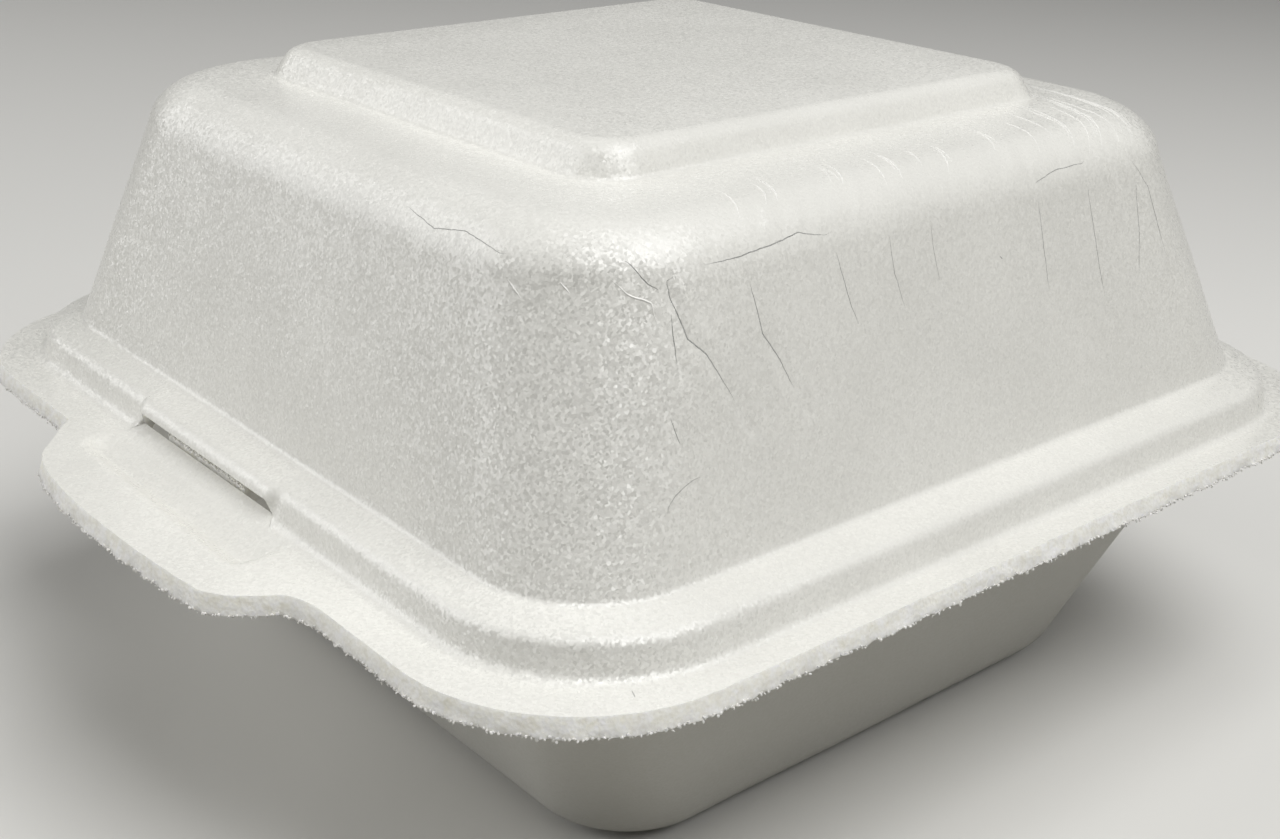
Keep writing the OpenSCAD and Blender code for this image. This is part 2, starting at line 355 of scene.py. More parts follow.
@dataclass
class Plan:
    """How many columns run along each side and round each corner of the rounded square."""

    back: int
    left: int
    front: int
    right: int
    back_left: int
    front_left: int
    front_right: int
    back_right: int

    def columns(self) -> tuple[np.ndarray, np.ndarray]:
        """Lays the columns out anticlockwise from the middle of the back.

        Returns:
            For each column the share of the corner centres' place, and the way that it faces.
        """
        half = self.back // 2
        # From one corner's centre to the next, from one angle to the next, in so many columns
        runs = (
            ((0, 1), (-1, 1), 90, 90, half),
            ((-1, 1), (-1, 1), 90, 180, self.back_left),
            ((-1, 1), (-1, -1), 180, 180, self.left),
            ((-1, -1), (-1, -1), 180, 270, self.front_left),
            ((-1, -1), (1, -1), 270, 270, self.front),
            ((1, -1), (1, -1), 270, 360, self.front_right),
            ((1, -1), (1, 1), 0, 0, self.right),
            ((1, 1), (1, 1), 0, 90, self.back_right),
            ((1, 1), (0, 1), 90, 90, half),
        )
        centre, angle = [], []
        for a, b, first, last, count in runs:
            share = np.arange(count)[:, None] / count
            centre.append(np.array(a) + (np.array(b) - np.array(a)) * share)
            angle.append(np.radians(first + (last - first) * share[:, 0]))
        turn = np.concatenate(angle)
        return np.vstack(centre), np.column_stack([np.cos(turn), np.sin(turn)])


@dataclass
class Profile:
    """A section through the sheet, from the middle out to the cut edge and back along the other face.

    Each row is a half width, an extra depth, a height and a plan radius, under the name of its stretch.
    """

    rows: list[tuple[float, float, float, float]] = field(default_factory=list)
    names: list[str] = field(default_factory=list)

    @staticmethod
    def other_face(path: np.ndarray, carried: np.ndarray, distance: float) -> tuple[np.ndarray, np.ndarray]:
        """Finds the sheet's other face, by moving a path sideways with mitred corners.

        Args:
            path: Half widths and heights, one row each.
            carried: Plan radius and extra depth at each corner.
            distance: How far it moves, to the left of the path's way.

        Returns:
            The other face's path and what it carries, from its outer end to the middle.
        """
        ways = np.diff(path, axis=0)
        ways /= np.linalg.norm(ways, axis=1)[:, None]
        before = np.vstack([ways[:1], ways])
        after = np.vstack([ways, ways[-1:]])
        left = np.stack([-(before + after)[:, 1], (before + after)[:, 0]], 1)
        moved = path + distance * left / (1 + (before * after).sum(1))[:, None]
        extra = carried.copy()
        extra[1:, 0] += (moved - path)[1:, 0]
        moved[0, 0] = 0.0
        return moved[::-1], extra[::-1]

    def trace(
        self,
        path: np.ndarray,
        carried: np.ndarray,
        rounds: list[float],
        arcs: list[int],
        runs: list[int],
        names: list[str],
    ) -> None:
        """Adds the rows of one face, with its corners rounded.

        Args:
            path: Half widths and heights of the sharp corners.
            carried: Plan radius and extra depth at each corner.
            rounds: Rounding of each corner.
            arcs: Steps round each corner.
            runs: Rows on each straight stretch.
            names: The name of each straight stretch. A corner is named for the stretch after it.
        """
        ways = np.diff(path, axis=0)
        lengths = np.linalg.norm(ways, axis=1)
        ways = ways / lengths[:, None]
        corners: list[tuple[np.ndarray, np.ndarray]] = []
        for i, at in enumerate(path):
            if rounds[i] <= 0:
                corners.append((at[None], carried[i][None]))
                continue
            a, b = ways[i - 1], ways[i]
            turn = math.atan2(a[0] * b[1] - a[1] * b[0], float(a @ b))
            reach = rounds[i] * abs(math.tan(turn / 2))
            sign = -1 if turn < 0 else 1
            middle = at - a * reach + sign * rounds[i] * np.array([-a[1], a[0]])
            share = np.linspace(0, 1, arcs[i] + 1)
            c, s = np.cos(turn * share), np.sin(turn * share)
            way = np.stack([a[0] * c - a[1] * s, a[0] * s + a[1] * c], 1)
            points = middle - sign * rounds[i] * np.stack([-way[:, 1], way[:, 0]], 1)
            start = carried[i] + (carried[i - 1] - carried[i]) * reach / lengths[i - 1]
            end = carried[i] + (carried[i + 1] - carried[i]) * reach / lengths[i]
            corners.append((points, start + (end - start) * share[:, None]))
        for i, (points, extra) in enumerate(corners):
            label = names[min(i, len(names) - 1)]
            for p, e in zip(points, extra, strict=True):
                self.rows.append((p[0], e[1], p[1], e[0]))
                self.names.append("corner:" + label if rounds[i] > 0 else label)
            if i == len(corners) - 1:
                continue
            p, e = points[-1], extra[-1]
            q, f = corners[i + 1][0][0], corners[i + 1][1][0]
            for k in range(1, runs[i]):
                t = k / runs[i]
                x, z = p + (q - p) * t
                r, deeper = e + (f - e) * t
                self.rows.append((x, deeper, z, r))
                self.names.append(names[i])

    def cut(self, steps: int) -> None:
        """Marks where the cut edge runs on from the last row, as so many steps."""
        self.rows += [self.rows[-1]] * (steps - 1)
        self.names += ["cut"] * (steps - 1)

    def finish(self) -> None:
        """Spreads the cut edge's rows evenly between the two faces, and lifts all rows to the joint."""
        found = self.named("cut")
        first, last = found[0] - 1, found[-1] + 1
        a, b = np.array(self.rows[first]), np.array(self.rows[last])
        for i in found:
            self.rows[i] = tuple(a + (b - a) * (i - first) / (last - first))
        self.rows = [(x, deeper, z + JOINT_Z, r) for x, deeper, z, r in self.rows]

    def named(self, name: str) -> list[int]:
        """The rows of one stretch."""
        return [i for i, n in enumerate(self.names) if n == name]


class SheetFormer:
    """Lofts a profile round a plan with Geometry Nodes."""

    def __init__(self) -> None:
        """Builds the node tree."""
        kinds = {"Profile": "Geometry", "Plan": "Object", "Weld": "Float", "Foam": "Material"}
        self.form_tree = Form("formed_sheet", kinds)
        add, given = self.form_tree.nodes.add, self.form_tree.given
        profile = given["Profile"]
        plan = add("GeometryNodeObjectInfo", {"Object": given["Plan"]}, "Geometry")
        rows, columns = (add("GeometryNodeAttributeDomainSize", {"Geometry": g}) for g in (profile, plan))
        # A grid of one column too many, which closes on the first
        closed = add("FunctionNodeIntegerMath", {0: columns, 1: 1}, operation="ADD")
        size = {"Size X": 1.0, "Size Y": 1.0, "Vertices X": closed, "Vertices Y": rows}
        kept = add("GeometryNodeMeshGrid", size, "Mesh")
        index = add("GeometryNodeInputIndex")
        row = add("FunctionNodeIntegerMath", {0: index, 1: rows}, operation="FLOORED_MODULO")
        raw = add("FunctionNodeIntegerMath", {0: index, 1: rows}, operation="DIVIDE_FLOOR")
        column = add("FunctionNodeIntegerMath", {0: raw, 1: columns}, operation="FLOORED_MODULO")
        place = add("GeometryNodeInputPosition")
        named = "GeometryNodeInputNamedAttribute"
        radius_name = add(named, {"Name": "plan_radius"}, data_type="FLOAT")
        facing_name = add(named, {"Name": "facing"}, data_type="FLOAT_VECTOR")
        radius = add("GeometryNodeSampleIndex", {"Geometry": profile, "Value": radius_name, "Index": row})
        station, centre, facing = (
            add("GeometryNodeSampleIndex", {"Geometry": g, "Value": v, "Index": i}, data_type="FLOAT_VECTOR")
            for g, v, i in ((profile, place, row), (plan, place, column), (plan, facing_name, column))
        )
        part = add("ShaderNodeSeparateXYZ", {0: station}).node.outputs
        deep = add("ShaderNodeMath", {0: part["X"], 1: part["Y"]}, operation="ADD")
        reach_x, reach_y = (
            add("ShaderNodeMath", {0: half, 1: radius}, operation="SUBTRACT") for half in (part["X"], deep)
        )
        reach = add("ShaderNodeCombineXYZ", {0: reach_x, 1: reach_y})
        corner = add("ShaderNodeVectorMath", {0: centre, 1: reach}, operation="MULTIPLY")
        out = add("ShaderNodeVectorMath", {0: facing, "Scale": radius}, operation="SCALE")
        flat = add("ShaderNodeVectorMath", {0: corner, 1: out}, operation="ADD")
        lift = add("ShaderNodeCombineXYZ", {2: part["Z"]})
        spot = add("ShaderNodeVectorMath", {0: flat, 1: lift}, operation="ADD")
        for name, value in (("row", row), ("column", column)):
            marked = {"Geometry": kept, "Name": name, "Value": value}
            kept = add("GeometryNodeStoreNamedAttribute", marked, data_type="INT", domain="POINT")
        formed = add("GeometryNodeSetPosition", {"Geometry": kept, "Position": spot})
        self.form_tree.close(add("GeometryNodeMergeByDistance", {"Geometry": formed, "Distance": given["Weld"]}))

    def form(self, name: str, profile: Profile, plan: Plan, foam: bpy.types.Material) -> FormedSheet:
        """Forms one sheet.

        Args:
            name: The name of the sheet.
            profile: The section through the sheet.
            plan: The columns round it.
            foam: The skin's material.

        Returns:
            The formed sheet, open to further shaping.
        """
        rows = np.array(profile.rows)
        section = bpy.data.meshes.new(name + "_section")
        section.from_pydata(rows[:, :3].tolist(), [(i, i + 1) for i in range(len(rows) - 1)], [])
        section.attributes.new("plan_radius", "FLOAT", "POINT").data.foreach_set("value", rows[:, 3].copy())
        centre, facing = plan.columns()
        level = np.zeros((len(centre), 1))
        ring = bpy.data.meshes.new(name + "_plan")
        ring.from_pydata(np.hstack([centre, level]).tolist(), [], [])
        ways = np.hstack([facing, level]).ravel()
        ring.attributes.new("facing", "FLOAT_VECTOR", "POINT").data.foreach_set("vector", ways)
        guide = add_piece(name + "_plan", ring)
        made = self.form_tree.run(section, Plan=guide, Weld=WELD, Foam=foam)
        bpy.data.objects.remove(guide)
        return FormedSheet(name, made, profile, len(centre), foam)


class FormedSheet:
    """A lofted sheet as arrays in millimetres, which know the row and column of every point."""

    def __init__(
        self, name: str, mesh: bpy.types.Mesh, profile: Profile, columns: int, foam: bpy.types.Material
    ) -> None:
        """Reads the points and faces.

        Args:
            name: The name of the sheet.
            mesh: The lofted mesh, which is used up.
            profile: The section that it was lofted from.
            columns: How many columns run round it.
            foam: The skin's material.
        """
        count = len(mesh.vertices)
        self.name, self.profile, self.foam = name, profile, foam
        points = np.zeros(count * 3)
        self.row, self.column = np.zeros(count, int), np.zeros(count, int)
        mesh.vertices.foreach_get("co", points)
        mesh.attributes["row"].data.foreach_get("value", self.row)
        mesh.attributes["column"].data.foreach_get("value", self.column)
        self.points = points.reshape(-1, 3)
        self.faces = [tuple(p.vertices) for p in mesh.polygons]
        self.lookup = np.full((len(profile.rows), columns), -1)
        self.lookup[self.row, self.column] = np.arange(count)
        self.in_rows = {n: np.isin(self.row, profile.named(n)) for n in set(profile.names)}
        cut = profile.named("cut")
        edge = range(cut[0] - 1, cut[-1] + 2)
        self.material = [int(all(self.row[v] in edge for v in f)) for f in self.faces]
        bpy.data.meshes.remove(mesh)

    def has(self, *names: str) -> np.ndarray:
        """Which points lie on any of these stretches."""
        return np.any([self.in_rows[n] for n in names], axis=0)

    def open_slot(self, outer: list[int], inner: list[int], low: int, high: int) -> None:
        """Takes a slot out of both faces of the sheet and walls its edge.

        Args:
            outer: The outer face's rows from the slot's top to its foot.
            inner: The inner face's rows from the slot's foot to its top.
            low: The first column.
            high: The last column.
        """
        gone_outer, gone_inner = set(outer), set(inner)
        kept, marks = [], []
        for f, m in zip(self.faces, self.material, strict=True):
            rows = {int(self.row[v]) for v in f}
            inside = all(low <= self.column[v] <= high for v in f)
            if inside and (rows <= gone_outer or rows <= gone_inner):
                continue
            kept.append(f)
            marks.append(m)
        pairs = list(zip(outer, inner[::-1], strict=True))
        walls = [((o, c), (o, c + 1), (i, c + 1), (i, c)) for c in range(low, high) for o, i in (pairs[0], pairs[-1])]
        for c in (low, high):
            walls += [((o, c), (p, c), (j, c), (i, c)) for (o, i), (p, j) in zip(pairs[:-1], pairs[1:], strict=True)]
        self.faces = kept + [tuple(int(self.lookup[at]) for at in wall) for wall in walls]
        self.material = marks + [1] * len(walls)

    def roughen_cut(self, seed: float, depth: float, sag: float, lean: float) -> None:
        """Makes the cut edge uneven and its second lip torn, in tears of 0.8 to 2.4 mm.

        Args:
            seed: Shifts the pattern.
            depth: How far the edge moves in and out.
            sag: How far the second lip moves up and down.
            lean: How far the second lip stands out past the first.
        """
        rows = self.profile.named("cut")
        first, last = rows[0] - 1, rows[-1] + 1
        at = np.flatnonzero((self.row >= first) & (self.row <= last))
        p = self.points[at]
        share = (self.row[at] - first) / (last - first)
        way = p[:, :2] / np.linalg.norm(p[:, :2], axis=1)[:, None]
        coarse, fine, lip = grain(p, 2.4, seed), grain(p, 0.8, seed + 1), grain(p, 1.1, seed + 2)
        push = depth * (0.4 * coarse + 0.5 * fine) * (0.25 + share) + lean * share
        self.points[at, :2] += way * push[:, None]
        self.points[at, 2] += sag * share**2 * (0.8 * lip + 0.5 * coarse)

    def edge_path(self) -> np.ndarray:
        """The points along the cut edge's second lip, in order."""
        on_row = self.row == self.profile.named("cut")[-1] + 1
        return self.points[on_row][np.argsort(self.column[on_row])]

    def mesh(self, foam_cut: bpy.types.Material) -> bpy.types.Mesh:
        """Builds the Blender mesh in metres.

        Args:
            foam_cut: The material of the cut edges.

        Returns:
            A closed mesh with faces outwards.
        """
        made = bpy.data.meshes.new(self.name)
        made.from_pydata((self.points * MM).tolist(), [], self.faces)
        made.materials.append(self.foam)
        made.materials.append(foam_cut)
        made.polygons.foreach_set("material_index", self.material)
        made.polygons.foreach_set("use_smooth", [True] * len(self.faces))
        with reworked(made) as work:
            bmesh.ops.delete(work, geom=[v for v in work.verts if not v.link_faces], context="VERTS")
        made.set_sharp_from_angle(angle=math.radians(55))
        made.update()
        return made


@dataclass(frozen=True)
class Crease:
    """A crease in a wall: points along the side and up its surface from the wall's foot.

    The wall sinks to the depth over the width, and a crack of the line's half width runs along it.
    """

    side: Side
    depth: float
    line: float
    path: tuple[tuple[float, float], ...]
    width: float = 0.75

    def sink(self, along: np.ndarray, up: np.ndarray) -> np.ndarray:
        """How far points sink into the crease, or rise beside it.

        Args:
            along: Places along the side.
            up: Places up the wall's surface.

        Returns:
            Depths in millimetres.
        """
        nearest = np.full(len(along), np.inf)
        at = np.stack([along, up], 1)
        path = np.array(self.path, float)
        for a, b in zip(path[:-1], path[1:], strict=True):
            ab = b - a
            t = np.clip((at - a) @ ab / (ab @ ab), 0, 1)
            nearest = np.minimum(nearest, np.linalg.norm(at - a - t[:, None] * ab, axis=1))
        groove = np.exp(-((nearest / self.width) ** 2))
        lip = np.exp(-(((nearest - 2.2 * self.width) / self.width) ** 2))
        return self.depth * (groove - 0.35 * lip)


RIGHT, FRONT = Side.RIGHT, Side.FRONT
CREASES = (
    # From the near corner down the right wall, and along under the shoulder
    Crease(
        RIGHT,
        0.09,
        0.11,
        ((-43, 34), (-42, 33), (-41, 30.5), (-42, 30), (-42, 28.5), (-41, 24), (-39, 22), (-37, 18), (-34.5, 13)),
    ),
    Crease(
        RIGHT,
        0.06,
        0.1,
        ((-41, 30.5), (-40, 32), (-37, 31), (-33, 31), (-27, 31.5), (-23.5, 32), (-20, 31), (-14.5, 32)),
    ),
    Crease(RIGHT, 0.07, 0.1, ((-33, 31), (-32, 29), (-31.5, 26.5), (-31, 22.5), (-29.5, 20), (-26.5, 13))),
    Crease(RIGHT, 0.04, 0.075, ((-19, 31), (-18.5, 28), (-17.5, 23), (-16, 18.5))),
    Crease(RIGHT, 0.05, 0.085, ((-46, 33), (-45, 32), (-44, 30), (-42, 28.5))),
    Crease(RIGHT, 0.05, 0.085, ((-42, 28), (-42.5, 25.5), (-43, 20.5))),
    Crease(RIGHT, 0.03, 0.06, ((-45, 17.5), (-44.5, 15), (-44, 13))),
    # A curl low on the near corner
    Crease(RIGHT, 0.0, 0.055, ((-41, 10), (-43.5, 10), (-46, 9), (-47, 8), (-48, 6))),
    # Down the middle and the far end of the right wall
    Crease(RIGHT, 0.03, 0.06, ((-10.5, 31.5), (-10, 29), (-10, 25), (-8.5, 19))),
    Crease(RIGHT, 0.02, 0.05, ((-3, 31), (-3, 28), (-3, 25.5), (-2.5, 21))),
    Crease(RIGHT, 0.05, 0.08, ((14, 32), (16.5, 31), (21, 32), (26.5, 32), (29, 33.5))),
    Crease(RIGHT, 0.05, 0.075, ((16.5, 31.5), (16.5, 28), (16.5, 19), (17, 15.5))),
    Crease(RIGHT, 0.06, 0.085, ((26.5, 32.5), (26.5, 28.5), (27, 18), (27.8, 12))),
    Crease(RIGHT, 0.05, 0.075, ((36.5, 31), (36, 21.5), (35, 16), (34.5, 13.5))),
    Crease(RIGHT, 0.06, 0.09, ((34.5, 34), (36, 31), (39, 27), (40.5, 21), (42, 14.5))),
    # Two nicks
    Crease(RIGHT, 0.0, 0.12, ((8.1, 23.6), (8.6, 23.1))),
    Crease(RIGHT, 0.0, 0.09, ((19.9, 19.8), (20.2, 19.3))),
    # Along under the front shoulder
    Crease(FRONT, 0.03, 0.075, ((17, 33), (22.5, 33), (28, 32), (33, 33), (39, 32), (42, 32), (44.5, 31))),
)

# A nick in the flange at the near corner, with its half width
NICK = (((66.5, -57.9), (67.1, -58.2), (68.0, -58.6)), 0.1)

# Single folds at the near corner, as a crease's path, and their half width
RIDGES = (
    (RIGHT, ((-47, 30.5), (-46, 29), (-44, 28), (-44, 26))),
    (FRONT, ((41, 29.5), (43, 28))),
    (FRONT, ((46, 30), (47, 29))),
)
RIDGE_HALF = 0.15

# The finger tab's outline: places along the front, and how far it stands out there
TAB_ALONG = (-29.8, -28.4, -24.6, -22.1, -19, -15.5, -8.5, -1.4, 5, 11, 17.7, 22.8, 25.4, 27.5, 29.2, 31.2, 34)
TAB_OUT = (0, 1.6, 4.6, 6.8, 8, 8.7, 9.4, 9.5, 9.4, 9.1, 8.6, 8, 6.4, 4, 1.4, 0.4, 0)


@dataclass
class SurfaceLines:
    """Fine lines that lie on the lid's skin: cracks along the creases, and small folds over its shoulder."""

    spacing: float = 0.3
    wander: float = 0.28
    wander_size: float = 1.3
    sides: int = 6
    sunk: float = 0.6
    thin_end: float = 0.45
    bluntness: float = 0.6

    def form(self) -> Form:
        """Builds the tree that lays lines on a surface and gives them a body.

        Returns:
            The tree, ready to run.
        """
        kinds = {"Lines": "Geometry", "Skin": "Object", "Spacing": "Float", "Wander": "Float", "Waves": "Float"}
        made = Form("lines_on_skin", kinds | {"Sides": "Int", "Sunk": "Float", "Foam": "Material"})
        add, given = made.nodes.add, made.given
        curve = add("GeometryNodeMeshToCurve", {"Mesh": given["Lines"]})
        fine = add("GeometryNodeResampleCurve", {"Curve": curve, "Length": given["Spacing"]}, mode="LENGTH")
        # The line wanders a little, and is then drawn back to the skin and sunk into it
        place = add("GeometryNodeInputPosition")
        drift = add("ShaderNodeTexNoise", {"Vector": place, "Scale": given["Waves"], "Detail": 2.0}, "Color")
        middle = add("ShaderNodeVectorMath", {0: drift, 1: (0.5, 0.5, 0.5)}, operation="SUBTRACT")
        shift = add("ShaderNodeVectorMath", {0: middle, "Scale": given["Wander"]}, operation="SCALE")
        loose = add("GeometryNodeSetPosition", {"Geometry": fine, "Offset": shift})
        skin = add("GeometryNodeObjectInfo", {"Object": given["Skin"]}, "Geometry")
        near = {"Geometry": skin, "Sample Position": place}
        nearest = add("GeometryNodeProximity", near, "Position", target_element="FACES")
        half = add("GeometryNodeInputNamedAttribute", {"Name": "half_width"}, data_type="FLOAT")
        faced = {"Mesh": skin, "Value": add("GeometryNodeInputNormal"), "Sample Position": place}
        outward = add("GeometryNodeSampleNearestSurface", faced, "Value", data_type="FLOAT_VECTOR")
        depth = add("ShaderNodeMath", {0: given["Sunk"], 1: half}, operation="MULTIPLY")
        inward = add("ShaderNodeMath", {0: depth, 1: -1.0}, operation="MULTIPLY")
        sink = add("ShaderNodeVectorMath", {0: outward, "Scale": inward}, operation="SCALE")
        laid = add("GeometryNodeSetPosition", {"Geometry": loose, "Position": nearest, "Offset": sink})
        # It is thickest in the middle
        share = add("GeometryNodeSplineParameter", out="Factor")
        angle = add("ShaderNodeMath", {0: share, 1: math.pi}, operation="MULTIPLY")
        swell = add("ShaderNodeMath", {0: angle}, operation="SINE")
        taper = add("ShaderNodeMath", {0: swell, 1: self.thin_end}, operation="MAXIMUM")
        soft = add("ShaderNodeMath", {0: taper, 1: self.bluntness}, operation="POWER")
        width = add("ShaderNodeMath", {0: soft, 1: half}, operation="MULTIPLY")
        ring = add("GeometryNodeCurvePrimitiveCircle", {"Resolution": given["Sides"], "Radius": 1.0})
        tube = {"Curve": laid, "Profile Curve": ring, "Scale": width, "Fill Caps": True}
        made.close(add("GeometryNodeCurveToMesh", tube))
        return made

    def build(
        self, name: str, paths: list[tuple[np.ndarray, float]], skin: bpy.types.Object, foam: bpy.types.Material
    ) -> bpy.types.Object:
        """Lays lines on the lid.

        Args:
            name: The piece's name.
            paths: For each line its points near the skin and its half width, in millimetres.
            skin: The lid's skin.
            foam: The lines' material.

        Returns:
            The finished piece, which rides on the lid's body.
        """
        points, edges, halves = [], [], []
        for path, half in paths:
            first = len(points)
            points += (path * MM).tolist()
            edges += [(i, i + 1) for i in range(first, len(points) - 1)]
            halves += [half * MM] * len(path)
        lines = bpy.data.meshes.new(name + "_paths")
        lines.from_pydata(points, edges, [])
        lines.attributes.new("half_width", "FLOAT", "POINT").data.foreach_set("value", halves)
        mesh = self.form().run(
            lines,
            Skin=skin,
            Spacing=self.spacing * MM,
            Wander=self.wander * MM,
            Waves=1 / (self.wander_size * MM),
            Sides=self.sides,
            Sunk=self.sunk,
            Foam=foam,
        )
        with reworked(mesh) as work:
            for face in work.faces:
                face.smooth = True
        piece = add_piece(name, mesh)
        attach(piece, "lid_body")
        return piece


@dataclass
class EdgeCrumbs:
    """Torn flakes of foam that hang on a cut edge."""

    count: int
    most: float
    seed: int
    least: float = 0.07
    spread: float = 0.2

    def form(self) -> Form:
        """Builds the tree that strews flakes along an edge.

        Returns:
            The tree, ready to run.
        """
        kinds = {"Edge": "Geometry", "Count": "Int", "Least": "Float", "Most": "Float", "Spread": "Float"}
        made = Form("edge_crumbs", kinds | {"Seed": "Int", "Foam": "Material"})
        add, given = made.nodes.add, made.given
        curve = add("GeometryNodeMeshToCurve", {"Mesh": given["Edge"]})
        spots = add("GeometryNodeResampleCurve", {"Curve": curve, "Count": given["Count"]})
        low, high = (add("ShaderNodeCombineXYZ", dict.fromkeys(range(3), given[key])) for key in ("Least", "Most"))
        ends = (((-1.0,) * 3, (1.0,) * 3), ((0.0,) * 3, (math.tau,) * 3), (low, high))
        wide, turns, sizes = (
            add("FunctionNodeRandomValue", {"Min": a, "Max": b, "Seed": given["Seed"]}, data_type="FLOAT_VECTOR")
            for a, b in ends
        )
        shift = add("ShaderNodeVectorMath", {0: wide, "Scale": given["Spread"]}, operation="SCALE")
        strewn = add("GeometryNodeSetPosition", {"Geometry": spots, "Offset": shift})
        flake = add("GeometryNodeMeshIcoSphere", {"Radius": 1.0, "Subdivisions": 1}, "Mesh")
        turned = add("FunctionNodeEulerToRotation", {"Euler": turns})
        flakes = {"Points": strewn, "Instance": flake, "Rotation": turned, "Scale": sizes}
        made.close(add("GeometryNodeInstanceOnPoints", flakes))
        return made

    def build(
        self, name: str, edge: np.ndarray, foam: bpy.types.Material, body: str, slot: str
    ) -> bpy.types.Object:
        """Strews crumbs along an edge.

        Args:
            name: The piece's name.
            edge: Points along the edge in millimetres.
            foam: The crumbs' material.
            body: The body that they ride on.
            slot: Not used.

        Returns:
            The finished piece.
        """
        line = bpy.data.meshes.new(name + "_edge")
        line.from_pydata((edge * MM).tolist(), [(i, i + 1) for i in range(len(edge) - 1)], [])
        mesh = self.form().run(
            line,
            Count=self.count,
            Least=self.least * MM,
            Most=self.most * MM,
            Spread=self.spread * MM,
            Seed=self.seed,
            Foam=foam,
        )
        piece = add_piece(name, mesh)
        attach(piece, body)
        return piece


@dataclass
class Lid:
    """The upper half: flange, ridge, wall, shoulder, deck and panel, with the finger tab and latch slot."""

    flange_half: float = 72.0
    flange_deeper: float = 1.5
    ridge_foot_half: float = 67.9
    ridge_top_half: float = 66.8
    ridge_z: float = 6.2
    wall_foot_half: float = 61.6
    wall_foot_z: float = 7.5
    shoulder_half: float = 51.6
    shoulder_z: float = 41.9
    panel_foot_half: float = 37.2
    panel_foot_z: float = 42.7
    panel_top_half: float = 35.2
    height: float = 46.5
    tab_foot_y: float = 68.6
    pocket_left: float = -23.2
    pocket_right: float = 20.2
    pocket_steeper: float = 1.7
    pocket_out_y: float = 76.3
    pocket_skew: float = 0.013
    pocket_depth: float = 1.4
    pocket_slope: float = 2.7
    pocket_r: float = 3.2
    hood_half: float = 17.0
    hood_soft: float = 0.8
    hood_from_y: float = 63.0
    hood_full_y: float = 66.0
    hood_out: float = 1.0
    hood_rise: float = 0.25
    slot_x: float = -3.4
    slot_half: float = 17.0
    slot_y: float = 67.3
    lip_end_y: float = 72.5
    lip_rise: float = 1.4
    hinge_half: float = 46.0
    fold_count: int = 30
    fold_seed: int = 11
    fold_back_y: float = 44.0
    fold_span: float = 74.0
    fold_crowding: float = 1.25
    wrinkle: float = 0.07
    wrinkle_size: float = 1.7
    edge: np.ndarray = field(init=False)

    def profile(self) -> Profile:
        """Draws the section through the lid.

        Returns:
            The section, from the panel's middle out to the cut edge and back along the inside.
        """
        path = np.array(
            [
                (0.0, self.height),
                (self.panel_top_half, self.height),
                (self.panel_foot_half, self.panel_foot_z),
                (self.shoulder_half, self.shoulder_z),
                (self.wall_foot_half, self.wall_foot_z),
                (self.ridge_top_half, self.ridge_z),
                (self.ridge_foot_half, SHEET),
                (self.flange_half, SHEET),
            ]
        )
        carried = np.array(
            [(0, 0), (4.8, 1.6), (6, 1.6), (19, 1.6), (14.7, 0.8), (19.4, 0), (20.5, 0), (22.6, self.flange_deeper)],
            float,
        )
        made = Profile()
        made.trace(
            path,
            carried,
            [0, 2.6, 0.9, 8.0, 0.9, 1.8, 1.1, 0],
            [0, 5, 3, 10, 4, 5, 4, 0],
            [4, 4, 11, 50, 6, 5, 17],
            ["panel", "panel_side", "deck", "wall", "ridge", "riser", "flange"],
        )
        made.cut(5)
        made.trace(
            *Profile.other_face(path, carried, -SHEET),
            [0, 0.9, 0.73, 1.1, 6.9, 1.1, 0.73, 0],
            [0, 4, 3, 2, 4, 2, 2, 0],
            [8, 5, 2, 3, 2, 2, 2],
            ["under_flange", "in_riser", "in_ridge", "in_wall", "in_deck", "in_panel_side", "in_panel"],
        )
        made.finish()
        return made

    def heights_up(self, profile: Profile) -> np.ndarray:
        """Measures up the lid's outer face from the wall's foot.

        Args:
            profile: The section through the lid.

        Returns:
            How far up the surface each row lies.
        """
        rows = np.array(profile.rows)
        steps = np.hypot(np.diff(rows[:, 0]), np.diff(rows[:, 2]))
        length = np.concatenate([[0], np.cumsum(steps)])
        return length[profile.named("corner:ridge")[0]] - length

    def on_skin(self, profile: Profile, side: Side, path: tuple[tuple[float, float], ...]) -> np.ndarray:
        """Finds places on the lid's outer face.

        Args:
            profile: The section through the lid.
            side: The right or the front side.
            path: Places along the side and up the surface from the wall's foot.

        Returns:
            The points in millimetres.
        """
        heights = self.heights_up(profile)
        outer = profile.named("cut")[0] - 1
        rows = np.array(profile.rows[:outer])[::-1]
        points = []
        for along, up in path:
            half, deeper, z, radius = (np.interp(up, heights[:outer][::-1], rows[:, i]) for i in range(4))
            reach = (half, half + deeper) if side is Side.RIGHT else (half + deeper, half)
            past = max(abs(along) - (reach[1] - radius), 0.0)
            bend = math.asin(min(past / radius, 1.0))
            out = reach[0] - radius + radius * math.cos(bend)
            points.append((out, along, z) if side is Side.RIGHT else (along, -out, z))
        return np.array(points)

    def cracks(self, profile: Profile) -> list[tuple[np.ndarray, float]]:
        """Lays a crack along each crease, and the nick in the flange at the near corner.

        Args:
            profile: The section through the lid.

        Returns:
            Each crack's points and half width.
        """
        made = [(self.on_skin(profile, c.side, c.path), c.line) for c in CREASES]
        nick, half = NICK
        return [*made, (np.array([(x, y, JOINT_Z + SHEET) for x, y in nick]), half)]

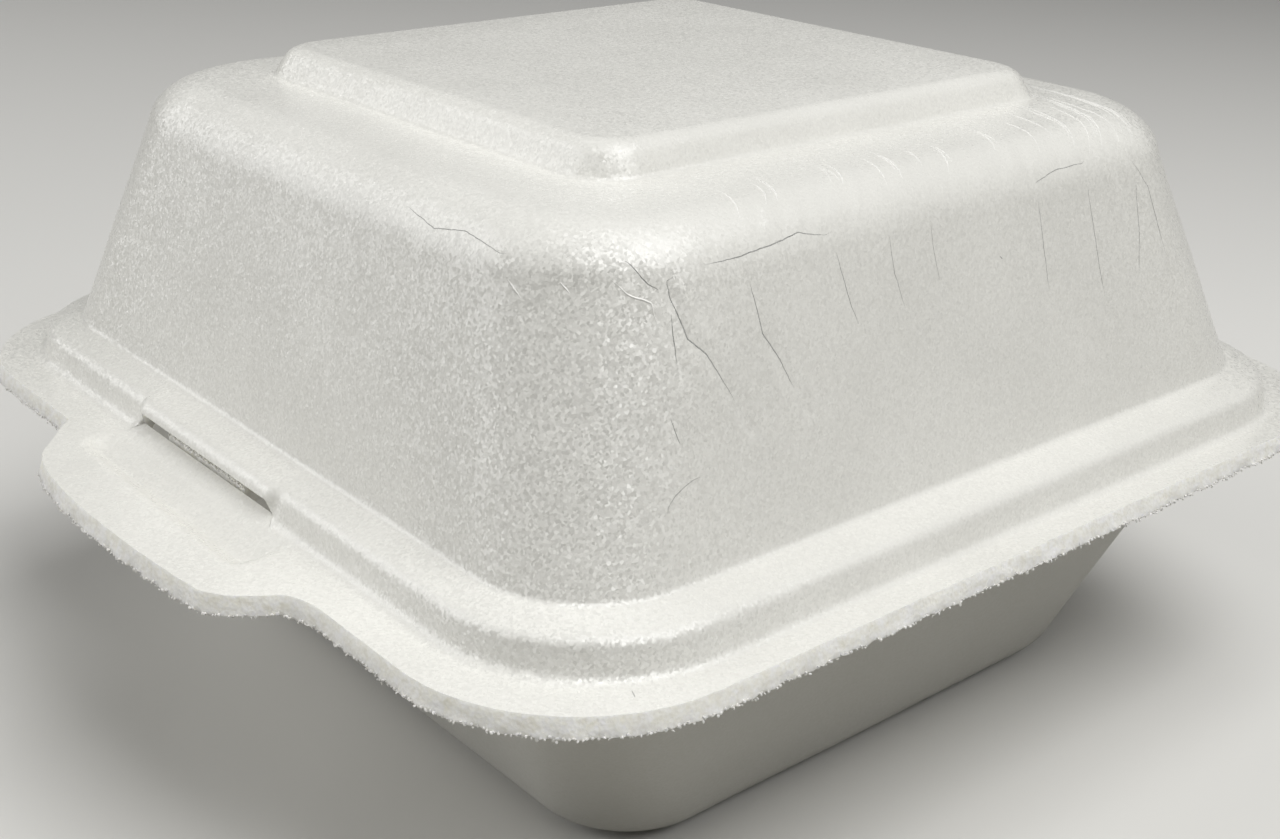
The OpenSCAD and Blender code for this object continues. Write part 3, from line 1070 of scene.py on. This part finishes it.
    def folds(self, profile: Profile) -> list[tuple[np.ndarray, float]]:
        """The folds at the near corner and over the right shoulder.

        Args:
            profile: The section through the lid.

        Returns:
            Each fold's points and half width. Those over the shoulder are longer and denser to the back.
        """
        made = [(self.on_skin(profile, side, path), RIDGE_HALF) for side, path in RIDGES]
        rng = np.random.default_rng(self.fold_seed)
        for _ in range(self.fold_count):
            along = self.fold_back_y - self.fold_span * rng.random() ** self.fold_crowding
            far = float(smooth(10, 40, along))
            top = 42 + 6.5 * far + rng.uniform(-1.2, 1.2)
            run = 6 + 8.5 * far + rng.uniform(-1.5, 1.5)
            slant = rng.uniform(0.2, 0.45)
            path = tuple((along - slant * run * t * t, top - run * t) for t in (0, 0.2, 0.4, 0.6, 0.8, 1))
            made.append((self.on_skin(profile, Side.RIGHT, path), rng.uniform(0.13, 0.2)))
        return made

    def shape_front(self, sheet: FormedSheet, front: np.ndarray) -> None:
        """Draws out the finger tab, sinks its pocket, raises the hood and leads the floor up to the slot.

        Args:
            sheet: The formed lid.
            front: Which points lie on the straight front.
        """
        p = sheet.points
        level = front & sheet.has("flange", "corner:flange", "under_flange", "corner:in_riser")
        flat = level | (front & sheet.has("cut"))
        edge_y = self.flange_half + self.flange_deeper
        share = np.clip((-p[flat, 1] - self.tab_foot_y) / (edge_y - self.tab_foot_y), 0, 1)
        p[flat, 1] -= share * np.interp(p[flat, 0], TAB_ALONG, TAB_OUT)
        # The pocket's sides slope, and more steeply at the right end
        dx = np.maximum(self.pocket_left - p[:, 0], (p[:, 0] - self.pocket_right) * self.pocket_steeper)
        dx += self.pocket_r
        dy = -p[:, 1] - self.pocket_out_y - self.pocket_skew * p[:, 0] + self.pocket_r
        outside = np.hypot(np.maximum(dx, 0), np.maximum(dy, 0)) + np.minimum(np.maximum(dx, dy), 0) - self.pocket_r
        # It is deepest along its outer side, and its floor climbs from there to the slot
        deepest = self.pocket_out_y - self.pocket_slope
        climb = np.clip((-p[:, 1] - self.tab_foot_y) / (deepest - self.tab_foot_y), 0, 1)
        hollow = (1 - smooth(-self.pocket_slope, 0.0, outside)) * climb
        p[level, 2] -= self.pocket_depth * hollow[level]
        hood = front & sheet.has("ridge", "corner:riser", "riser")
        aside = np.abs(p[:, 0] - self.slot_x)
        over = 1 - smooth(self.hood_half - self.hood_soft, self.hood_half + self.hood_soft, aside)
        out = smooth(self.hood_from_y, self.hood_full_y, -p[:, 1]) * over
        p[hood, 1] -= self.hood_out * out[hood]
        # The floor runs in under the hood and rises to the slot's lower lip
        inside = 1 - smooth(self.slot_half - 0.2, self.slot_half + 2.0, aside)
        profile = sheet.profile
        for lip_row, stretch in (
            (profile.named("corner:flange")[-1], "flange"),
            (profile.named("corner:in_riser")[0], "under_flange"),
        ):
            moved = front & (sheet.has(stretch) | (sheet.row == lip_row)) & (-p[:, 1] < self.lip_end_y)
            lip_y = -p[sheet.lookup[lip_row, sheet.column[moved]], 1]
            share = (self.lip_end_y + p[moved, 1]) / (self.lip_end_y - lip_y)
            p[moved, 1] += inside[moved] * share * (lip_y - self.slot_y)
            p[moved, 2] += inside[moved] * self.lip_rise * share**2
        p[hood, 2] += self.hood_rise * out[hood] * smooth(JOINT_Z + 5, JOINT_Z + 6, p[hood, 2])
        # The slot's ends are straight, on both faces of the sheet
        for low, high in (
            (profile.named("corner:riser")[-1], profile.named("corner:flange")[-1]),
            (profile.named("corner:in_riser")[0], profile.named("corner:in_ridge")[0]),
        ):
            end = front & (sheet.row > low) & (sheet.row < high)
            a, b = (p[sheet.lookup[r, sheet.column[end]]] for r in (low, high))
            t = ((sheet.row[end] - low) / (high - low))[:, None]
            p[end] += inside[end][:, None] * (a + t * (b - a) - p[end])

    def crease(self, sheet: FormedSheet, facing: np.ndarray) -> None:
        """Presses the creases, the shoulder's wrinkles and a little unevenness into the walls.

        Args:
            sheet: The formed lid.
            facing: The way that each point's column faces.
        """
        rows = np.array(sheet.profile.rows)
        up = self.heights_up(sheet.profile)[sheet.row]
        upper = sheet.has("deck", "corner:deck", "corner:wall", "wall", "corner:ridge")
        p = sheet.points
        slope = np.gradient(rows[:, [0, 2]], axis=0)
        slope /= np.linalg.norm(slope, axis=1)[:, None] + 1e-12
        out = np.stack([-slope[:, 1], slope[:, 0]], 1)[sheet.row]
        out *= np.where(out[:, :1] + out[:, 1:] < 0, -1, 1)
        normal = np.column_stack([facing * out[:, :1], out[:, 1]])
        sink = np.zeros(len(p))
        for c in CREASES:
            near = upper & (facing @ np.array(c.side.value) > 0.5)
            along = p[near, 1] if c.side is Side.RIGHT else p[near, 0]
            sink[near] += c.sink(along, up[near])
        p[upper] -= normal[upper] * sink[upper][:, None]
        # Small wrinkles over the right shoulder, except near the front corner
        right = smooth(0.75, 0.98, facing[:, 0]) * smooth(-52, -20, p[:, 1])
        wrinkled = right * smooth(27, 33, up) * (1 - smooth(43, 48, up)) * upper
        bent = np.flatnonzero(wrinkled > 0)
        fold = np.column_stack([p[bent, 1] + 0.6 * p[bent, 0], 0.12 * up[bent], 0 * up[bent]])
        rise = self.wrinkle * wrinkled[bent] * grain(fold, self.wrinkle_size, 21.0)
        p[bent] += normal[bent] * rise[:, None]
        # The walls wave a little, over 26 mm and over 9 mm
        wave = grain(p[upper], 26, 3.0) * 0.22 + grain(p[upper], 9, 4.0) * 0.06
        p[upper] += normal[upper] * wave[:, None]

    def build(self, former: SheetFormer, foam: bpy.types.Material, cut: bpy.types.Material) -> bpy.types.Object:
        """Makes the lid.

        Args:
            former: Lofts the sheet.
            foam: The skin's material.
            cut: The cut edges' material.

        Returns:
            The finished piece, which rides on the lid's body.
        """
        plan = Plan(back=44, left=50, front=132, right=190, back_left=22, front_left=26, front_right=56, back_right=32)
        profile = self.profile()
        sheet = former.form("lid_foam", profile, plan, foam)
        facing = plan.columns()[1][sheet.column]
        front = facing[:, 1] < FACING_FRONT
        self.crease(sheet, facing)
        self.shape_front(sheet, front)
        sheet.roughen_cut(seed=7.0, depth=0.42, sag=0.34, lean=0.6)
        outer = profile.named("corner:riser")[-1:] + profile.named("riser") + profile.named("corner:flange")
        inner = profile.named("corner:in_riser") + profile.named("in_riser") + profile.named("corner:in_ridge")[:1]
        on_row = np.flatnonzero(front & (sheet.row == outer[0]))
        inside = sheet.column[on_row[np.abs(sheet.points[on_row, 0] - self.slot_x) < self.slot_half]]
        sheet.open_slot(outer, inner, int(inside.min()), int(inside.max()))
        piece = add_piece("lid_foam", sheet.mesh(cut))
        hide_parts("lid")
        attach(piece, "lid_body")
        # Along the hinge the sheet runs on, so nothing is torn there
        edge = sheet.edge_path()
        at_hinge = (edge[:, 1] > self.flange_half - 2) & (np.abs(edge[:, 0]) < self.hinge_half)
        self.edge = edge[~at_hinge]
        return piece


@dataclass
class Tray:
    """The lower half: a tapered dish with a narrow rim, a latch tongue and a flange out to the hinge."""

    rim_half: float = 64.05
    rim_z: float = 2.0
    wall_top_half: float = 62.17
    wall_top_z: float = 2.46
    foot_half: float = 45.4
    foot_deeper: float = -0.6
    foot_back: float = 2.6
    tongue_x: float = -4.4
    tongue_half: float = 10.4
    tongue_out: float = 2.85
    tongue_lean: float = 0.5
    tongue_drop: float = 0.4
    tongue_edge_y: float = 66.0
    hinge_half: float = 44.0
    hinge_edge_y: float = 73.5
    hinge_steps: int = 30
    tongue_edge: np.ndarray = field(init=False)

    def profile(self) -> Profile:
        """Draws the section through the tray.

        Returns:
            The section, from the foot's middle out to the cut edge and back along the inside.
        """
        path = np.array(
            [
                (0.0, -JOINT_Z),
                (self.foot_half, -JOINT_Z),
                (self.wall_top_half, self.wall_top_z),
                (self.rim_half, self.rim_z),
            ]
        )
        carried = np.array([(0, 0), (13, self.foot_deeper), (15.5, 0), (18.6, 0)], float)
        made = Profile()
        made.trace(path, carried, [0, 7.7, 1.1, 0], [0, 9, 3, 0], [4, 24, 4], ["foot", "wall", "under_rim"])
        made.cut(4)
        other = Profile.other_face(path, carried, SHEET)
        made.trace(*other, [0, 2.2, 6.6, 0], [0, 5, 8, 0], [6, 14, 3], ["rim", "in_wall", "in_foot"])
        made.finish()
        return made

    def hinge_flange(self) -> bpy.types.Mesh:
        """The strip of sheet that steps down from the rim at the back and runs out to the hinge.

        Returns:
            The strip as a closed mesh.
        """
        top = [(62.4, 4.0), (64.4, 4.0), (64.9, 3.6), (65.8, 0.1), (66.3, -0.35), (self.hinge_edge_y, -0.35)]
        under = [(self.hinge_edge_y, -2.55), (65.0, -2.55), (64.0, -2.1), (62.9, 1.9), (62.4, 2.4)]
        section = top + under
        n, steps = len(section), self.hinge_steps
        ends = np.linspace(-self.hinge_half, self.hinge_half, steps + 1)
        points = [(x * MM, y * MM, (z + JOINT_Z) * MM) for x in ends.tolist() for y, z in section]
        faces: list[tuple[int, ...]] = []
        for i in range(steps):
            for k in range(n):
                a, b = i * n + k, i * n + (k + 1) % n
                faces.append((a, b, b + n, a + n))
        faces += [tuple(range(n)), tuple(steps * n + k for k in reversed(range(n)))]
        made = bpy.data.meshes.new("hinge_flange")
        made.from_pydata(points, [], faces)
        return made

    def build(self, former: SheetFormer, foam: bpy.types.Material, cut: bpy.types.Material) -> bpy.types.Object:
        """Makes the tray.

        Args:
            former: Lofts the sheet.
            foam: The skin's material.
            cut: The cut edges' material.

        Returns:
            The finished piece, which rides on the tray's body.
        """
        plan = Plan(back=60, left=60, front=128, right=72, back_left=26, front_left=26, front_right=30, back_right=26)
        sheet = former.form("tray_foam", self.profile(), plan, foam)
        facing = plan.columns()[1][sheet.column]
        front = facing[:, 1] < FACING_FRONT
        p = sheet.points
        rise = JOINT_Z + self.wall_top_z
        p[:, 1] += self.foot_back * np.clip((rise - p[:, 2]) / rise, 0, 1)
        # The wall waves a little, over 30 mm
        wall = sheet.has("wall", "corner:wall")
        p[wall, :2] += facing[wall] * (grain(p[wall], 30, 8.0) * 0.25)[:, None]
        lip = front & sheet.has("under_rim", "cut", "rim")
        reach = 1 - smooth(self.tongue_half - 0.3, self.tongue_half + 0.5, np.abs(p[lip, 0] - self.tongue_x))
        share = smooth(self.rim_half - 2.0, self.rim_half, -p[lip, 1])
        rows = sheet.profile.named("cut")
        upper = np.clip((sheet.row[lip] - rows[0] + 1) / (len(rows) + 1), 0, 1)
        p[lip, 1] -= (self.tongue_out - self.tongue_lean * upper) * reach * share
        p[lip, 2] -= self.tongue_drop * reach * share
        sheet.roughen_cut(seed=17.0, depth=0.3, sag=0.15, lean=0.0)
        edge = sheet.edge_path()
        tongue = (edge[:, 1] < -self.tongue_edge_y) & (np.abs(edge[:, 0] - self.tongue_x) < self.tongue_half)
        self.tongue_edge = edge[tongue]
        mesh, strip = sheet.mesh(cut), self.hinge_flange()
        with reworked(mesh) as work:
            work.from_mesh(strip)
        bpy.data.meshes.remove(strip)
        piece = add_piece("tray_foam", mesh)
        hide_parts("tray")
        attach(piece, "tray_body")
        return piece


@dataclass
class HingeWeb:
    """The pressed web along the back: a half round of thin sheet between the two flanges."""

    half: float = 44.0
    axis_y: float = 73.8
    axis_z: float = 39.825
    radius: float = 2.375
    thickness: float = 0.9
    edge_gap: float = 0.3
    arc_steps: int = 22
    length_steps: int = 60

    def form(self) -> Form:
        """Builds the tree that carries the web's section along the back edge.

        Returns:
            The tree, ready to run.
        """
        kinds = {"Section": "Geometry", "Start": "Vector", "End": "Vector", "Steps": "Int", "Foam": "Material"}
        made = Form("pressed_web", kinds)
        add, given = made.nodes.add, made.given
        line = add("GeometryNodeCurvePrimitiveLine", {"Start": given["Start"], "End": given["End"]})
        path = add("GeometryNodeResampleCurve", {"Curve": line, "Count": given["Steps"]})
        section = add("GeometryNodeMeshToCurve", {"Mesh": given["Section"]})
        swept = add("GeometryNodeCurveToMesh", {"Curve": path, "Profile Curve": section, "Fill Caps": True})
        made.close(add("GeometryNodeSetShadeSmooth", {"Geometry": swept}))
        return made

    def build(self, foam: bpy.types.Material) -> bpy.types.Object:
        """Makes the web between the tray and the lid.

        Args:
            foam: The web's material.

        Returns:
            The finished piece.
        """
        angles = np.linspace(-math.pi / 2, math.pi / 2, self.arc_steps)
        inner_r = self.radius - self.thickness
        outer = [(math.cos(a) * self.radius, math.sin(a) * self.radius) for a in angles]
        inner = [(math.cos(a) * inner_r, math.sin(a) * inner_r) for a in angles[::-1]]
        loop = [(-self.edge_gap, -self.radius), *outer, (-self.edge_gap, self.radius)]
        loop += [(-self.edge_gap, inner_r), *inner, (-self.edge_gap, -inner_r)]
        n = len(loop)
        # The sweep turns the section's first axis to -Y
        section = bpy.data.meshes.new("web_section")
        section.from_pydata([(-y * MM, z * MM, 0.0) for y, z in loop], [(i, (i + 1) % n) for i in range(n)], [])
        start, end = (-self.half * MM, 0.0, 0.0), (self.half * MM, 0.0, 0.0)
        mesh = self.form().run(section, Start=start, End=end, Steps=self.length_steps, Foam=foam)
        with reworked(mesh) as work:
            bmesh.ops.translate(work, verts=work.verts, vec=(0.0, self.axis_y * MM, self.axis_z * MM))
            bmesh.ops.remove_doubles(work, verts=work.verts, dist=1e-6)
        mesh.set_sharp_from_angle(angle=math.radians(50))
        piece = add_piece("hinge_web", mesh)
        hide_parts("living_hinge")
        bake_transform(piece)
        return piece


@dataclass(frozen=True)
class Lamp:
    """A square soft lamp that points at the box's middle.

    The azimuth runs from +X towards +Y. Angles are in degrees, distance and size in metres, power in watts.
    """

    name: str
    azimuth: float
    elevation: float
    distance: float
    size: float
    power: float
    aim_z: float = 0.045

    def build(self) -> bpy.types.Object:
        """Adds the lamp to the scene.

        Returns:
            The lamp.
        """
        a, e = math.radians(self.azimuth), math.radians(self.elevation)
        place = self.distance * Vector((math.cos(a) * math.cos(e), math.sin(a) * math.cos(e), math.sin(e)))
        data = bpy.data.lights.new(self.name, "AREA")
        data.shape, data.size, data.energy = "SQUARE", self.size, self.power
        made = bpy.data.objects.new(self.name, data)
        made.location = place
        made.rotation_euler = (Vector((0, 0, self.aim_z)) - place).to_track_quat("-Z", "Y").to_euler()
        bpy.context.scene.collection.objects.link(made)
        return made


LAMPS = (
    Lamp("top_softbox", azimuth=15, elevation=72, distance=0.9, size=0.7, power=4.6),
    Lamp("right_softbox", azimuth=3, elevation=54, distance=0.6, size=0.4, power=1.47),
    Lamp("left_softbox", azimuth=226, elevation=26, distance=1.2, size=1.0, power=8.3),
)


@dataclass
class Studio:
    """The floor, the light and the camera, which aren't part of the object."""

    eye_mm: tuple[float, float, float] = (173.87, -149.61, 130.75)
    yaw_deg: float = 49.37
    pitch_deg: float = 23.05
    roll_deg: float = 1.2
    lens_mm: float = 47.69
    sensor_mm: float = 36.0
    floor_colour: str = "E4E3DF"
    floor_bounce: str = "A19F99"
    floor_half_m: float = 4.0
    world_colour: str = "F2F3F2"
    world_strength: float = 0.02

    def camera(self) -> bpy.types.Object:
        """Stands the camera where the photograph was taken from.

        Returns:
            The camera.
        """
        a, e, r = (math.radians(v) for v in (self.yaw_deg, self.pitch_deg, self.roll_deg))
        back = Vector((math.sin(a) * math.cos(e), -math.cos(a) * math.cos(e), math.sin(e)))
        level = Vector((math.cos(a), math.sin(a), 0))
        rise = back.cross(level)
        right = level * math.cos(r) + rise * math.sin(r)
        up = rise * math.cos(r) - level * math.sin(r)
        data = bpy.data.cameras.new("camera")
        data.lens, data.sensor_width, data.sensor_fit = self.lens_mm, self.sensor_mm, "HORIZONTAL"
        data.clip_start, data.clip_end = 0.01, 20.0
        data.dof.use_dof = False
        made = bpy.data.objects.new("camera", data)
        turn = Matrix((right, up, back)).transposed()
        made.matrix_world = Matrix.Translation(Vector(self.eye_mm) * MM) @ turn.to_4x4()
        bpy.context.scene.collection.objects.link(made)
        bpy.context.scene.camera = made
        return made

    def floor(self) -> bpy.types.Object:
        """Lays a wide pale matt floor, which throws back less light than the camera sees on it.

        Returns:
            The floor.
        """
        mesh = bpy.data.meshes.new("floor")
        s = self.floor_half_m
        mesh.from_pydata([(-s, -s, 0), (s, -s, 0), (s, s, 0), (-s, s, 0)], [], [(0, 1, 2, 3)])
        made = add_piece("floor", mesh)
        stuff, nodes = new_material("pale_paper_floor")
        add = nodes.add
        path = add("ShaderNodeLightPath").node.outputs
        seen = add("ShaderNodeMath", {0: path["Is Camera Ray"], 1: path["Is Glossy Ray"]}, operation="MAXIMUM")
        tones = {"Factor": seen, "A": linear(self.floor_bounce), "B": linear(self.floor_colour)}
        colour = add("ShaderNodeMix", tones, "Result", data_type="RGBA")
        look = {"Base Color": colour, "Roughness": 1.0, "Specular IOR Level": 0.0}
        add("ShaderNodeOutputMaterial", {"Surface": add("ShaderNodeBsdfPrincipled", look)})
        mesh.materials.append(stuff)
        return made

    def build(self) -> None:
        """Sets up the whole studio."""
        scene = bpy.context.scene
        scene.view_settings.view_transform = "Standard"
        world = bpy.data.worlds.new("studio")
        world.use_nodes = True
        sky = world.node_tree.nodes["Background"].inputs
        sky["Color"].default_value = linear(self.world_colour)
        sky["Strength"].default_value = self.world_strength
        scene.world = world
        self.camera()
        self.floor()
        for lamp in LAMPS:
            lamp.build()


def main() -> None:
    """Builds the box around its frame and reports each piece."""
    logging.basicConfig(level=logging.INFO, format="%(name)s: %(message)s")
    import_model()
    skin = FoamSkin("polystyrene_foam_skin", "ECEBE5", "E2E1DB", roughness=0.31, lean=0.34, glint=0.06).material()
    # The tray and the hinge web get a smoother copy of the skin, painted a little darker as painted shade
    smoother = FoamSkin("polystyrene_foam_smooth_skin", "DEDDD7", "D9D8D1", roughness=0.45, lean=0.12, glint=0.05)
    tray_shaded_skin = smoother.material()
    # Over the folds the skin is painted paler, as a painted highlight along each fold's ridge
    fold_highlight_finish = FoamSkin("stretched_foam_skin", "F6F5F0", "F0EFEA", roughness=0.3, lean=0.1, glint=0.05)
    stretched = fold_highlight_finish.material()
    cut = CutFoam("cut_polystyrene_foam", "FDFCF7", "F0EEE6").material()
    # The crack lines' darker grey is painted shade, standing in for the shadow inside each hairline crack
    crack = CutFoam("foam_in_cracks", "C2C2BB", "B0B0A9").material()
    former = SheetFormer()
    lid, tray = Lid(), Tray()
    lid_piece = lid.build(former, skin, cut)
    tray_piece = tray.build(former, tray_shaded_skin, cut)
    section = lid.profile()
    lid_crumbs = EdgeCrumbs(count=1450, most=0.24, seed=5)
    tongue_crumbs = EdgeCrumbs(count=90, most=0.22, seed=6)
    pieces = [
        lid_piece,
        tray_piece,
        HingeWeb().build(tray_shaded_skin),
        SurfaceLines().build("lid_cracks", lid.cracks(section), lid_piece, crack),
        SurfaceLines(sunk=0.5).build("lid_folds", lid.folds(section), lid_piece, stretched),
        lid_crumbs.build("lid_edge_crumbs", lid.edge, cut, "lid_body", "foam_lid"),
        tongue_crumbs.build("tongue_crumbs", tray.tongue_edge, cut, "tray_body", "foam_tray"),
    ]
    Studio().build()
    for piece in pieces:
        piece.data.calc_loop_triangles()
        LOG.info("%s: %d triangles", piece.name, len(piece.data.loop_triangles))


if __name__ == "__main__":
    main()
